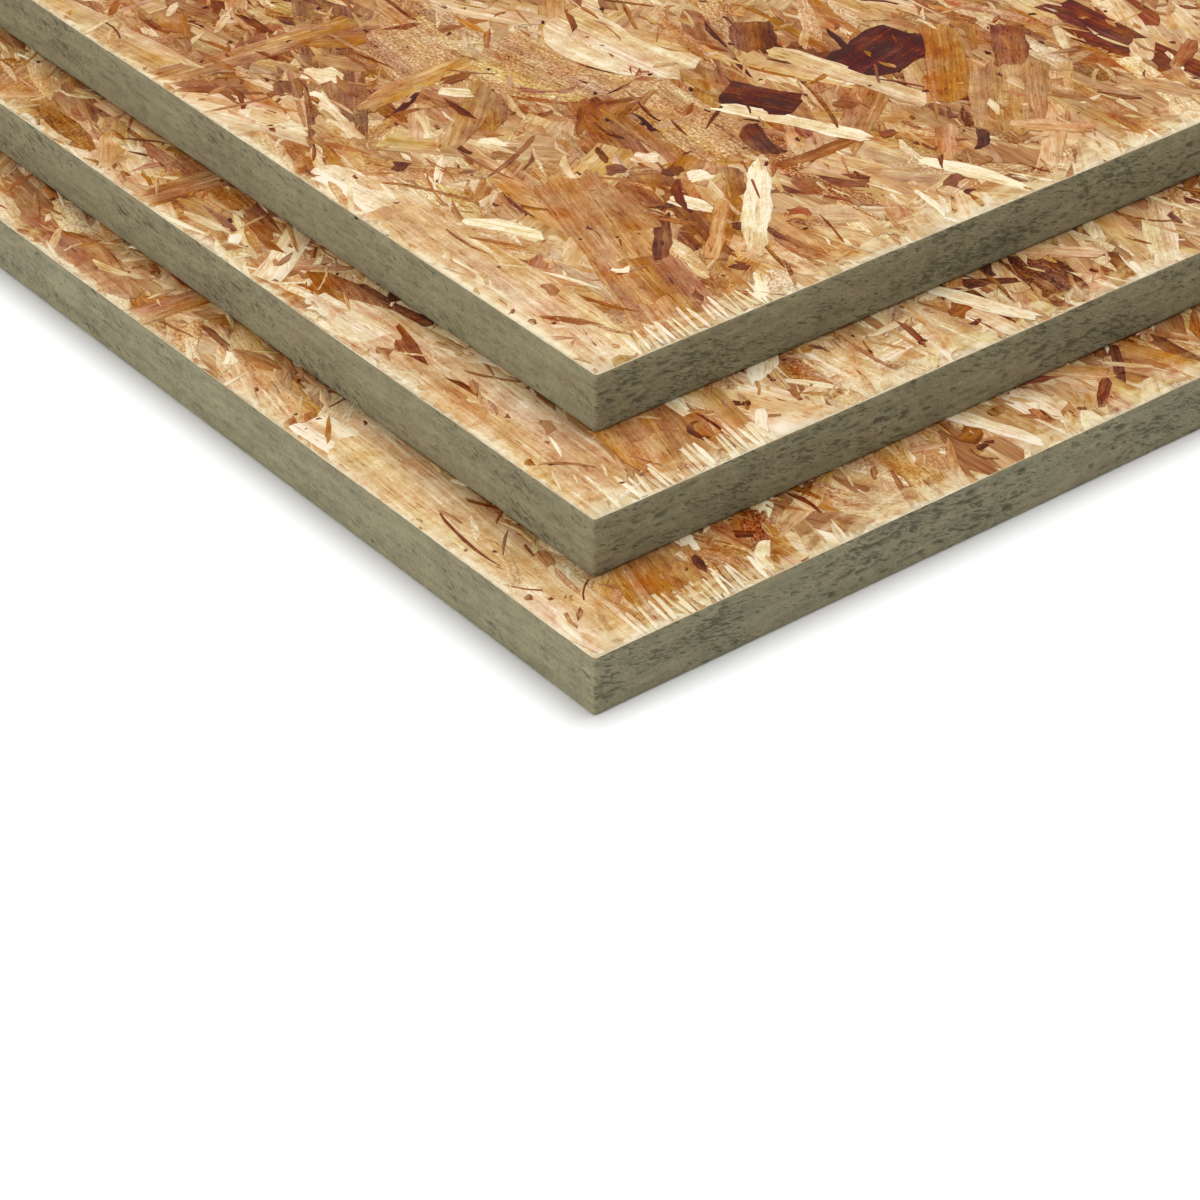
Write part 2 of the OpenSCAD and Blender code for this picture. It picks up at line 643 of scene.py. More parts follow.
def mark_inset(mesh, low, high):
    """Notes how far each point lies from the panel's ends and from its long sides."""
    places = read(mesh.vertices, "co", width=3)
    inset = np.zeros_like(places)
    for axis in (0, 1):
        inset[:, axis] = np.minimum(places[:, axis] - low[axis], high[axis] - places[:, axis])
    note(mesh, "inset", "FLOAT_VECTOR", "POINT", inset)


class BakeMap:
    """A UV map for baking: the mesh's sheets laid flat, one above the other."""

    def __init__(self, mesh):
        self.mesh = mesh
        self.points = read(mesh.loops, "vertex_index", np.int32)
        self.starts = read(mesh.polygons, "loop_start", np.int32)
        self.sizes = read(mesh.polygons, "loop_total", np.int32)
        self.face_of = np.repeat(np.arange(len(self.sizes)), self.sizes)
        self.places = read(mesh.vertices, "co", width=3)[self.points]
        self.x, self.y = self.places[:, 0], self.places[:, 1]
        self.middle_x, self.middle_y = self.middles(self.x), self.middles(self.y)
        self.uv = np.zeros((len(self.points), 2), np.float32)
        self.used = 0.0

    def middles(self, values):
        """The mean of a value over each face's corners."""
        return np.add.reduceat(values, self.starts) / self.sizes

    def lay(self, faces, along, across, rows, share):
        """Lays a sheet of faces flat, cut into rows, over a share of the map's height."""
        chosen = faces[self.face_of]
        middle = self.middles(along)
        first = middle[faces].min()
        step = max((middle[faces].max() - first) / rows, MM)
        row = np.clip((middle - first) // step, 0, rows - 1)[self.face_of][chosen]
        self.uv[chosen, 0] = fitted(along[chosen] - first - row * step)
        self.uv[chosen, 1] = self.used + share * (row + fitted(across[chosen])) / rows
        self.used += share

    def finish(self):
        """Writes the map, and leaves the grain's map the active one."""
        lay_map(self.mesh, BAKE_MAP, self.uv)
        self.mesh.uv_layers.active = self.mesh.uv_layers[0]


def fitted(values):
    """Values stretched to run from just above 0 to just below 1."""
    low, high = values.min(), values.max()
    return 0.01 + 0.98 * (values - low) / (high - low)


def lay_board_map(mesh, low, high):
    """Lays a board's bake map: its four walls in rows, then its two large flat faces."""
    bake = BakeMap(mesh)
    rise = read(mesh.attributes["rise"].data, "value")[bake.points]
    gaps = (
        bake.middle_y - low.y, high.y - bake.middle_y,
        high.x - bake.middle_x, bake.middle_x - low.x,
    )
    nearest = np.argmin(np.stack(gaps), axis=0)
    large = bake.sizes > LARGE_FACE
    for side, along, rows in ((0, bake.x, 4), (1, bake.x, 4), (2, bake.y, 2), (3, bake.y, 2)):
        bake.lay(~large & (nearest == side), along, rise, rows, WALLS_SHARE * rows / 12)
    bake.lay(large, bake.x, bake.y, 1, 1 - WALLS_SHARE)
    bake.finish()


def put_in_scene(name, mesh, *materials):
    """Makes the mesh a visible piece that rides on the pile."""
    piece = bpy.data.objects.new(name, mesh)
    bpy.context.scene.collection.objects.link(piece)
    for material in materials:
        mesh.materials.append(material)
    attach(piece, BODY)
    return piece


# ---------------------------------------------------------------- materials


class Recipe:
    """Short hand for putting a material's nodes together."""

    def __init__(self, name):
        self.material = bpy.data.materials.new(name)
        self.material.use_nodes = True
        self.tree = self.material.node_tree
        self.tree.nodes.clear()

    def add(self, kind, inputs=None, **settings):
        node = self.tree.nodes.new("ShaderNode" + kind)
        for key, value in settings.items():
            setattr(node, key, value)
        for key, value in (inputs or {}).items():
            self.feed(node.inputs[key], value)
        return node

    def feed(self, socket, value):
        if isinstance(value, bpy.types.NodeSocket):
            self.tree.links.new(value, socket)
        else:
            socket.default_value = value

    def math(self, operation, a, b=0.0, c=0.0):
        return self.add("Math", {0: a, 1: b, 2: c}, operation=operation).outputs[0]

    def attribute(self, name, output="Fac"):
        return self.add("Attribute", attribute_name=name).outputs[output]

    def stretched(self, places, scale, offset=(0.0, 0.0, 0.0)):
        """Places scaled by a different amount on each axis."""
        scaled = self.add("VectorMath", {0: places, 1: scale, 2: offset}, operation="MULTIPLY_ADD")
        return scaled.outputs[0]

    def noise(self, places, scale, offset=(0.0, 0.0, 0.0), detail=2.0, rough=0.5, flat=True):
        """Noise between about 0.25 and 0.75, with its middle at 0.5.

        Its scale is in waves a metre on each axis, and its offset keeps like noises apart.
        """
        found = self.add(
            "TexNoise",
            {
                "Vector": self.stretched(places, scale, offset),
                "Scale": 1.0,
                "Detail": detail,
                "Roughness": rough,
            },
            noise_dimensions="2D" if flat else "3D",
        )
        return found.outputs["Fac"]

    def between(self, value, low, high):
        """0 below low, 1 above high, smooth between."""
        node = self.add("MapRange", {"Value": value, "From Min": low, "From Max": high})
        node.interpolation_type = "SMOOTHSTEP"
        return node.outputs["Result"]

    def mixed(self, share, first, second, blend="MIX"):
        node = self.add("Mix", data_type="RGBA", blend_type=blend)
        self.feed(node.inputs["Factor"], share)
        self.feed(node.inputs[6], first)
        self.feed(node.inputs[7], second)
        return node.outputs[2]

    def grow(self, total, value, gain):
        """Adds gain times a value."""
        return self.math("MULTIPLY_ADD", value, gain, total)

    def plus(self, total, value, gain):
        """Adds gain times a noise value, measured from its middle."""
        return self.grow(total, self.math("SUBTRACT", value, 0.5), gain)

    def ramp(self, value, stops):
        node = self.add("ValToRGB", {"Fac": value})
        elements = node.color_ramp.elements
        while len(elements) < len(stops):
            elements.new(0.5)
        for element, (place, colour) in zip(elements, stops):
            element.position = place
            element.color = (*colour, 1.0)
        return node.outputs["Color"]

    def finish(self, colour, roughness, height, bump_distance, bump_strength=1.0, specular=0.3):
        bump = self.add(
            "Bump", {"Height": height, "Distance": bump_distance, "Strength": bump_strength}
        )
        shader = self.add(
            "BsdfPrincipled",
            {
                "Base Color": colour,
                "Roughness": roughness,
                "Normal": bump.outputs["Normal"],
                "Specular IOR Level": specular,
            },
        )
        self.add("OutputMaterial", {"Surface": shader.outputs[0]})
        return self.material


def wood_stops(face):
    """Wood colours from bark to the palest fibres, by tone."""
    return (
        (0.00, face.bark_colour),
        (0.14, face.heartwood_colour),
        (0.33, face.russet_colour),
        (0.52, face.tan_colour),
        (0.71, face.straw_colour),
        (0.89, face.sapwood_colour),
        (1.00, face.cream_colour),
    )


def warmed(recipe, colour, warmth, golden):
    """Turns a wood colour towards orange or grey brown, and towards gold or pink."""
    hue = recipe.plus(recipe.grow(0.506, warmth, -0.016), golden, 0.040)
    strength = recipe.plus(recipe.grow(0.97, warmth, 0.14), golden, 0.38)
    node = recipe.add("HueSaturation", {"Hue": hue, "Saturation": strength, "Color": colour})
    return node.outputs["Color"]


def strand_material(face):
    """Dry wood strands: grain along each one, dark dashes, pale streaks, and painted shade with dark gaps
    round each rim.
    """
    recipe = Recipe("pressed_strands")
    grain = recipe.add("UVMap", uv_map=GRAIN_MAP).outputs["UV"]
    place = recipe.add("TexCoord").outputs["Object"]
    bands = recipe.noise(grain, (9, 130, 0))
    fibres = recipe.noise(grain, (40, 800, 0), (3, 1, 0), detail=3.0, rough=0.55)
    fine = recipe.noise(grain, (200, 2100, 0), (7, 5, 0), rough=0.6)
    dashes = recipe.between(recipe.noise(grain, (150, 1000, 0), (1, 9, 0)), 0.66, 0.74)
    streaks = recipe.between(recipe.noise(grain, (28, 520, 0), (5, 2, 0)), 0.60, 0.72)
    mottle = recipe.noise(grain, (900, 1150, 0), (2, 4, 0), rough=0.7)
    golden = recipe.noise(grain, (16, 90, 0), (8, 8, 0))
    blotch = recipe.noise(place, (38, 38, 38), detail=3.0, flat=False)
    stains = recipe.noise(place, (170, 170, 170), (3, 8, 2), detail=3.0, rough=0.62, flat=False)
    glow = recipe.noise(place, (75, 75, 75), (6, 1, 4), flat=False)
    faded = faded_border(recipe, place)

    tone = recipe.attribute("tone")
    for pattern, gain in ((bands, 0.46), (fibres, 0.36), (fine, 0.26), (blotch, 0.40), (stains, 0.42)):
        tone = recipe.plus(tone, pattern, gain)
    tone = recipe.grow(tone, dashes, -0.20)
    tone = recipe.grow(tone, streaks, 0.10)
    speckle = recipe.math("MULTIPLY", recipe.attribute("speckle"), recipe.math("SUBTRACT", mottle, 0.5))
    tone = recipe.grow(tone, speckle, 1.9)
    below_cream = recipe.math("MAXIMUM", recipe.math("SUBTRACT", 1.02, tone), 0.0)
    tone = recipe.grow(tone, recipe.math("MULTIPLY", faded, below_cream), 0.50)

    warmth = recipe.plus(recipe.attribute("warmth"), bands, 0.6)
    warmth = recipe.plus(warmth, glow, 2.4)
    warmth = recipe.grow(warmth, faded, -0.4)
    colour = warmed(recipe, recipe.ramp(tone, wood_stops(face)), warmth, golden)
    # Painted shade round the strands' rims and sides.
    colour = rim_gaps_and_shade(recipe, face, colour, place)
    colour = sawn_border(recipe, face, colour, place)

    height = recipe.grow(fibres, fine, 0.5)
    height = recipe.grow(height, dashes, -0.3)
    height = recipe.grow(height, speckle, 0.8)
    roughness = recipe.grow(0.50, fibres, 0.30)
    return recipe.finish(colour, roughness, height, 0.22 * MM, 0.8, specular=0.10)


def rim_gaps_and_shade(recipe, face, colour, place):
    """Painted shade with dark gaps: a darker, broken line round each strand and down its sides, stronger in
    some patches than in others.
    """
    patches = recipe.between(recipe.noise(place, (70, 70, 70), (4, 4, 4), flat=False), 0.40, 0.62)
    rim_break = recipe.noise(place, (240, 240, 240), flat=False)
    rim = recipe.between(recipe.plus(recipe.attribute("rim"), rim_break, 1.4), 0.25, 1.1)
    # The painted shade darkens rims and sides towards the rim colour, more in some patches.
    shade = recipe.math("MULTIPLY", rim, recipe.grow(0.12, patches, 0.50))
    return recipe.mixed(shade, colour, (*face.rim_gap_shade_colour, 1.0))


def faded_border(recipe, place):
    """Where the face is paler: a frayed band along the ends, narrower along the long sides."""
    inset = recipe.add("SeparateXYZ", {0: recipe.attribute("inset", "Vector")})
    frayed = recipe.noise(place, (260, 130, 1), (8, 2, 0), detail=3.0, rough=0.6)
    frayed = recipe.math("SUBTRACT", frayed, 0.5)
    bands = []
    for axis, usual, fray in ((0, 8 * MM, 26 * MM), (1, 4 * MM, 14 * MM)):
        reach = recipe.grow(usual, frayed, fray)
        within = recipe.math("SUBTRACT", reach, inset.outputs[axis])
        bands.append(recipe.between(within, -4 * MM, 6 * MM))
    return recipe.math("MAXIMUM", bands[0], bands[1])


def sawn_border(recipe, face, colour, place):
    """Pale torn fibres along the arris, which the saw left bare."""
    split = recipe.add("SeparateXYZ", {0: recipe.attribute("inset", "Vector")})
    inset = recipe.math("MINIMUM", split.outputs[0], split.outputs[1])
    ragged = recipe.noise(place, (300, 300, 1), detail=3.0, rough=0.65)
    clumps = recipe.between(recipe.noise(place, (45, 45, 1), (6, 6, 0)), 0.50, 0.66)
    limit = recipe.grow(1.2 * MM, clumps, 1.8 * MM)
    limit = recipe.plus(limit, ragged, 5 * MM)
    mask = recipe.between(recipe.math("SUBTRACT", limit, inset), -0.7 * MM, 1.1 * MM)
    frayed = recipe.between(recipe.noise(place, (500, 500, 1), (1, 3, 0)), 0.30, 0.62)
    mask = recipe.math("MULTIPLY", mask, recipe.grow(0.35, frayed, 0.50))
    return recipe.mixed(mask, colour, (*face.sawn_colour, 1.0))


def fines_material(face):
    """The pressed fines between strands, and the plain underside: a mosaic of small strands."""
    recipe = Recipe("pressed_fines")
    place = recipe.add("TexCoord").outputs["Object"]
    total = None
    for turn, scale, offset in ((0.35, (24, 150), 0.0), (-0.5, (30, 190), 3.0), (0.05, (16, 95), 8.0)):
        turned = recipe.add("Mapping", {"Vector": place, "Rotation": (0, 0, turn), "Scale": (*scale, 1)})
        cells = recipe.add(
            "TexVoronoi", {"Vector": turned.outputs[0], "Scale": 1.0, "Randomness": 1.0},
            voronoi_dimensions="2D",
        )
        own = recipe.add("SeparateColor", {0: cells.outputs["Color"]}).outputs[0]
        picked = recipe.between(recipe.noise(place, (18, 18, 1), (offset, offset, 0)), 0.47, 0.53)
        if total is None:
            total = own
        else:
            mix = recipe.add("Mix", {"Factor": picked, "A": total, "B": own}, data_type="FLOAT")
            total = mix.outputs[0]
    tone = recipe.grow(0.34, total, 0.40)
    fibres = recipe.noise(place, (70, 800, 1), detail=3.0, rough=0.6)
    tone = recipe.plus(tone, fibres, 0.6)
    colour = recipe.ramp(tone, wood_stops(face))
    roughness = recipe.grow(0.55, fibres, 0.3)
    return recipe.finish(colour, roughness, fibres, 0.3 * MM, 0.8, specular=0.15)


def arris_material(face):
    """The bare wood line between the strands and the edge seal: pale, with cut fibres."""
    recipe = Recipe("bare_arris")
    place = recipe.add("TexCoord").outputs["Object"]
    fibres = recipe.noise(place, (700, 700, 1), detail=3.0, rough=0.6)
    patches = recipe.noise(place, (70, 70, 1), (5, 1, 0), detail=2.0)
    tone = recipe.plus(0.90, fibres, 0.30)
    tone = recipe.plus(tone, patches, 0.50)
    colour = recipe.ramp(tone, wood_stops(face))
    roughness = recipe.grow(0.55, fibres, 0.3)
    return recipe.finish(colour, roughness, fibres, 0.15 * MM, 0.8, specular=0.10)


def seal_material(edge):
    """Thin matte paint over sawn strand ends: nearly even, with fine slanting flecks and pits darkened by
    painted shade.
    """
    recipe = Recipe("edge_seal")
    place = recipe.add("TexCoord").outputs["Object"]
    mottle = recipe.noise(place, (190, 190, 300), detail=3.0, rough=0.6, flat=False)
    layers = recipe.noise(place, (50, 50, 520), (3, 1, 0), detail=3.0, rough=0.6, flat=False)
    cloud = recipe.noise(place, (45, 45, 70), (7, 7, 7), flat=False)
    grit = recipe.noise(place, (1000, 1000, 1400), (1, 2, 3), rough=0.6, flat=False)
    gather = recipe.noise(place, (30, 30, 110), (2, 8, 4), flat=False)
    gather = recipe.grow(gather, recipe.attribute("end_grain"), 0.10)
    slanted = recipe.add("Mapping", {"Vector": place, "Rotation": (0.30, -0.30, 0)}).outputs[0]

    # Painted shade: the pits, and the fine slanting flecks that stand for small pits, darken towards the pit
    # shade colour.
    dark = recipe.math("MULTIPLY", recipe.attribute("pit"), 0.75)
    for scale, offset, depth in (((250, 250, 1250), (9, 2, 5), 0.74), ((520, 520, 2100), (4, 7, 1), 0.52)):
        flecks = recipe.noise(slanted, scale, offset, rough=0.6, flat=False)
        flecks = recipe.plus(flecks, gather, 0.45)
        flecks = recipe.plus(flecks, grit, 0.25)
        flecks = recipe.math("MULTIPLY", recipe.between(flecks, 0.64, 0.72), depth)
        dark = recipe.math("MAXIMUM", flecks, dark)

    thin = recipe.math("MULTIPLY", recipe.between(cloud, 0.50, 0.66), 0.18)
    paint = recipe.mixed(thin, (*edge.paint_colour, 1.0), (*edge.stain_colour, 1.0))
    light = 1.0
    for pattern in (mottle, layers, grit):
        light = recipe.plus(light, pattern, 0.70)
    paint = recipe.add("VectorMath", {0: paint, 3: light}, operation="SCALE").outputs[0]
    colour = recipe.mixed(dark, paint, (*edge.pit_shade_colour, 1.0))

    height = recipe.grow(mottle, grit, 0.5)
    height = recipe.grow(height, layers, 0.5)
    height = recipe.grow(height, dark, -0.8)
    roughness = recipe.grow(0.50, mottle, 0.3)
    return recipe.finish(colour, roughness, height, 0.35 * MM, 0.8, specular=0.2)


# ---------------------------------------------------------------- panels


def outline_loop(body, low, high):
    """The panel's outline at floor level, with close points by the near corner."""
    bmesh.ops.create_grid(body, x_segments=1, y_segments=1, size=0.5)
    size = high - low
    middle = (low + high) / 2
    bmesh.ops.scale(body, verts=body.verts[:], vec=(size.x, size.y, 1))
    bmesh.ops.translate(body, verts=body.verts[:], vec=(middle.x, middle.y, low.z))
    bmesh.ops.bevel(
        body, geom=body.verts[:], offset=CORNER_RADIUS, offset_type="OFFSET", segments=4,
        profile=0.5, affect="VERTICES", material=-1,
    )
    bmesh.ops.delete(body, geom=body.faces[:], context="FACES_ONLY")
    corner = Vector((high.x, low.y, low.z))
    for edge in [e for e in body.edges if e.calc_length() > NEAR_REACH]:
        near = min(edge.verts, key=lambda v: (v.co - corner).length)
        if (near.co - corner).length > NEAR_REACH:
            split_evenly(body, edge, COARSE_STEP)
            continue
        far_edge, _ = bmesh.utils.edge_split(edge, near, NEAR_REACH / edge.calc_length())
        fine, coarse = sorted((edge, far_edge), key=lambda e: e.calc_length())
        split_evenly(body, fine, FINE_STEP)
        split_evenly(body, coarse, COARSE_STEP)


def split_evenly(body, edge, step):
    """Splits an edge into equal parts of about a given length."""
    cuts = max(1, round(edge.calc_length() / step) - 1)
    bmesh.ops.subdivide_edges(body, edges=[edge], cuts=cuts)


def wall_rows(thickness):
    """Heights of the wall's rows of points, and how far each is eased in."""
    top = thickness - ARRIS_DROP
    heights = [(0.0, FOOT_EASE), (FOOT_EASE, EASED_ROW)]
    for row in range(1, WALL_ROWS):
        heights.append((FOOT_EASE + (top - FOOT_EASE) * row / WALL_ROWS, 0.0))
    heights.append((top, TOP_EASE))
    return heights


def held(value):
    """A value held between 0 and 1."""
    return min(max(value, 0.0), 1.0)


def waves(place, along, up, shift=(0, 0, 0)):
    """Noise from -1 to 1, with so many waves a metre along a wall and up it."""
    return noise.noise(Vector((place.x * along, place.y * along, place.z * up)) + Vector(shift))


def edge_relief(place, end_grain, pit_depth, fade):
    """How far a point of the wall lies behind the sawn plane, and how much of a pit it is."""
    moved = waves(place, 18, 18) * SAW_WAVE
    moved += waves(place, 35, 480) * LAYER_WAVE
    moved += waves(place, 420, 420) * GRAIN_WAVE
    lean = PIT_LEAN * place.z
    spot = waves(Vector((place.x + lean, place.y + lean, place.z)), 260, 900, (5, 3, 1))
    patch = waves(place, 30, 30, (9, 9, 9)) + 0.45
    pit = held((spot - PIT_START) / PIT_START) * held(patch * 1.8)
    pit *= fade * (1.0 if end_grain else LONG_SIDE_PITS)
    back = max(SAWN_BACK + moved, 0.0) + pit * pit_depth
    return back, pit


def raise_ring(body, ring, upward):
    """Grows the open ring of edges straight up; gives the new ring and its points."""
    grown = bmesh.ops.extrude_edge_only(body, edges=ring)["geom"]
    raised = [part for part in grown if isinstance(part, bmesh.types.BMVert)]
    bmesh.ops.translate(body, verts=raised, vec=(0, 0, upward))
    return [part for part in grown if isinstance(part, bmesh.types.BMEdge)], raised


def nearest_within(place, low, high):
    """The point nearest to a place inside the panel's outline, less its corner radius."""
    return Vector((
        min(max(place.x, low.x + CORNER_RADIUS), high.x - CORNER_RADIUS),
        min(max(place.y, low.y + CORNER_RADIUS), high.y - CORNER_RADIUS),
    ))


def panel_board(node, edge, fines, seal, arris):
    """The panel's body: sealed, pitted side walls, and the fines that the strands lie on."""
    low, high = panel_box(node)
    body = bmesh.new()
    pit_layer = body.verts.layers.float.new("pit")
    end_layer = body.verts.layers.float.new("end_grain")
    rise_layer = body.verts.layers.float.new("rise")
    outline_loop(body, low, high)
    ring = body.edges[:]
    rows = wall_rows(high.z - low.z)
    ease_of = {vert: rows[0][1] for vert in body.verts}
    for (before, _), (height, ease) in zip(rows, rows[1:]):
        ring, raised = raise_ring(body, ring, height - before)
        for vert in raised:
            ease_of[vert] = ease
    wall = set(body.faces)
    ring, lip = raise_ring(body, ring, 0.0)
    ring, foot = raise_ring(body, ring, ARRIS_DROP - FINES_DEPTH)
    bare = set(body.faces) - wall
    for vert, ease in ease_of.items():
        flat = vert.co.xy
        out = (flat - nearest_within(flat, low, high)).normalized()
        from_arris = min(vert.co.z - low.z, high.z - vert.co.z)
        fade = held((from_arris - PIT_MARGIN) / PIT_FADE)
        end_grain = abs(out.x) > abs(out.y)
        back, pit = edge_relief(vert.co, end_grain, edge.pit_depth, fade)
        vert[end_layer] = float(end_grain)
        vert.co.xy = flat - out * (back + ease)
        vert[pit_layer] = pit
        vert[rise_layer] = vert.co.z - low.z
    for vert in lip + foot:
        flat = vert.co.xy
        vert.co.xy = flat - (flat - nearest_within(flat, low, high)).normalized() * ARRIS_WIDTH
    for ring_of, unrolled in ((lip, 4 * ARRIS_WIDTH), (foot, 5 * ARRIS_WIDTH)):
        for vert in ring_of:
            vert[rise_layer] = high.z - low.z + unrolled
    bmesh.ops.holes_fill(body, edges=[e for e in body.edges if e.is_boundary])
    for face in body.faces:
        face.smooth = face in wall
        if face in wall:
            face.material_index = 1
        elif face in bare:
            face.material_index = 2
    bmesh.ops.recalc_face_normals(body, faces=body.faces[:])
    put_in_order(body)
    mesh = bpy.data.meshes.new(node + "_board")
    body.to_mesh(mesh)
    body.free()
    lay_board_map(mesh, low, high)
    piece = put_in_scene(node + "_board", mesh, fines, seal, arris)
    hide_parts(node)
    return piece


class StrandKinds:
    """Families of strand shapes, coarse ones for the whole face and fine ones by the corner.

    Each says how many, their usual size and its spread, and their faces along and across.
    """

    def __init__(self, chance, face):
        long_size = (face.long_length, face.long_width)
        short_size = (face.short_length, face.short_width)
        sliver_size = (face.sliver_length, face.sliver_width)
        self.long = strand_shapes(chance, 24, *long_size, 0.45, 3, 2, BROAD, rim=False)
        self.short = strand_shapes(chance, 24, *short_size, 0.5, 2, 1, TAPERED, rim=False)
        self.long_fine = strand_shapes(chance, 28, *long_size, 0.5, 7, 4, BROAD)
        self.short_fine = strand_shapes(chance, 28, *short_size, 0.55, 4, 2, TAPERED)
        self.sliver = strand_shapes(chance, 24, *sliver_size, 0.6, 3, 1, SPLINTER)
        self.speck = strand_shapes(chance, 12, 2.6 * MM, 1.5 * MM, 0.45, 2, 2, CHIP)
        self.crack = strand_shapes(chance, 20, 20 * MM, 1.1 * MM, 0.5, 6, 1, CRACK)
        self.comb = strand_shapes(chance, 16, 13 * MM, 1.4 * MM, 0.35, 3, 2, COMB)
        self.bit = strand_shapes(chance, 16, 8 * MM, 1.5 * MM, 0.5, 2, 1, TAPERED, rim=False)


def stained(layer, x, y):
    """How much darker or paler the wood is here: paler by the sides, and as the stains say."""
    back, inward = (layer.high.x - x) / MM, (y - layer.low.y) / MM
    total = 0.06 * math.exp(-max(back, 0.0) / 20) + 0.04 * math.exp(-max(inward, 0.0) / 16)
    for stain_back, stain_inward, reach, change in STAINS:
        apart = math.hypot(back - stain_back, inward - stain_inward) / reach
        total += change * math.exp(-apart * apart)
    return total


def usual_turn(chance):
    """Strands mostly follow the panel's length; a few fall anyhow."""
    if chance.random() < 0.10:
        return chance.uniform(0, math.pi)
    return math.radians(chance.normal(-6, 27)) + math.pi * (chance.random() < 0.5)


def usual_tone(chance):
    """Tone and warmth of a strand: mostly tan, some russet, some pale, a few dark."""
    draw = chance.random()
    warmth = min(max(chance.normal(0.50, 0.25), 0.0), 1.0)
    if draw < 0.05:
        return chance.uniform(0.12, 0.28), warmth * 0.7
    if draw < 0.22:
        return chance.uniform(0.36, 0.52), warmth
    if draw < 0.34:
        return chance.uniform(0.70, 0.80), warmth * 0.8
    return chance.normal(0.62, 0.07), warmth


def sliver_tone(chance):
    """Slivers are mostly somewhat lighter or darker than what they lie on."""
    draw = chance.random()
    if draw < 0.40:
        return chance.uniform(0.70, 0.86), chance.uniform(0.2, 0.6)
    if draw < 0.84:
        return chance.uniform(0.42, 0.62), chance.uniform(0.4, 1.0)
    return chance.uniform(0.16, 0.36), chance.uniform(0.2, 0.7)


def speck_tone(chance):
    """Specks are bark or nearly so."""
    return chance.uniform(0.02, 0.26), chance.uniform(0.1, 0.5)


def bit_tone(chance):
    """Small bits pressed into the face are somewhat off the usual tone."""
    return chance.normal(0.60, 0.12), chance.uniform(0.2, 0.9)


def short_tone(chance):
    """Short strands on top are often much lighter or darker than what they lie on."""
    if chance.random() < 0.5:
        return usual_tone(chance)
    return sliver_tone(chance)


def crack_tone(chance):
    """Thin cracks and splinters are russet or darker."""
    return chance.uniform(0.22, 0.46), chance.uniform(0.3, 0.9)


def scatter(layer, chance, shapes, count, region, levels, tone_of):
    """Lays many strands of one kind over a region."""
    (x_low, x_high), (y_low, y_high) = region
    for _ in range(count):
        x, y = chance.uniform(x_low, x_high), chance.uniform(y_low, y_high)
        tone, warmth = tone_of(chance)
        layer.lay(
            shapes[chance.integers(len(shapes))],
            x,
            y,
            chance.uniform(*levels) * MM,
            usual_turn(chance),
            tone + stained(layer, x, y),
            warmth,
            speckle=max(0.0, chance.normal(0.12, 0.22)),
            tilt=(chance.normal(0, 0.0012), chance.normal(0, 0.006)),
            scale=chance.uniform(0.85, 1.2),
        )


def signature_speckle(length, tone, warmth):
    """Broad, dull tan strands are sandy; the others are nearly smooth."""
    sandy = length > 50 and 0.58 < tone < 0.66 and warmth < 0.5
    return 0.50 if sandy else 0.12


def signature_shape(chance, length, width):
    """A strand of a given size in mm: broad, tapered or just a chip, as its size asks."""
    torn = CHIP
    if length > 2.2 * width:
        torn = TAPERED
    if width >= 10:
        torn = BROAD
    along = 8 if length > 14 else 4
    across = 5 if width > 4 else 2
    return torn_strand(chance, length * MM, width * MM, along, across, torn)


def lay_signature(layer, chance):
    """Lays the strands that stand out by the near corner."""
    for order, row in enumerate(SIGNATURE_STRANDS):
        back, inward, length, width, turn, tone, warmth = row
        level = -0.12 + 0.09 * order / len(SIGNATURE_STRANDS)
        layer.lay(
            signature_shape(chance, length, width),
            layer.high.x - back * MM,
            layer.low.y + inward * MM,
            level * MM,
            math.radians(turn),
            tone,
            warmth,
            speckle=signature_speckle(length, tone, warmth),
            tilt=(chance.normal(0, 0.0003), chance.normal(0, 0.001)),
        )


def comb_tone(chance):
    """Most torn fibres are pale, a few are tan."""
    return chance.uniform(0.80, 0.97) if chance.random() < 0.7 else chance.uniform(0.44, 0.64)


def lay_torn_comb(layer, chance, shapes):
    """Short pale fibres torn up side by side at the end, near the corner."""
    inward = COMB_FROM
    while inward < COMB_TO:
        back = chance.uniform(*COMB_BACK)
        layer.lay(
            shapes[chance.integers(len(shapes))],
            layer.high.x - back * MM,
            layer.low.y + inward * MM,
            -0.02 * MM,
            math.radians(chance.normal(-9, 4)),
            comb_tone(chance),
            0.3,
            scale=chance.uniform(0.75, 1.15),
        )
        inward += chance.uniform(*COMB_GAP)


def area_of(region):
    """A region's area in square metres."""
    return (region[0][1] - region[0][0]) * (region[1][1] - region[1][0])


def count_for(region, cover, length, width):
    """How many strands of a size cover a region so many times over."""
    return round(area_of(region) * cover / (length * width * TORN_SHARE))


def far_border(low, high):
    """The rest of the face along the near long side, past the near corner."""
    return (low.x - EDGE_OVERLAP, high.x - NEAR_REACH), (low.y - EDGE_OVERLAP, low.y + LEDGE_REACH)


def far_ledges(low, high):
    """The rest of a lower panel's face that the panel above leaves bare."""
    return (
        far_border(low, high),
        ((high.x - LEDGE_REACH, high.x + EDGE_OVERLAP), (low.y + NEAR_REACH, high.y + EDGE_OVERLAP)),
    )


def lay_coarse(layer, chance, settings, kinds, region):
    """Simpler strands, for the parts of a face away from the near corner."""
    long_count = count_for(region, 1.9, settings.long_length, settings.long_width)
    short_count = count_for(region, 0.35, settings.short_length, settings.short_width)
    scatter(layer, chance, kinds.long, long_count, region, (-0.42, -0.14), usual_tone)
    scatter(layer, chance, kinds.short, short_count, region, (-0.30, -0.06), short_tone)


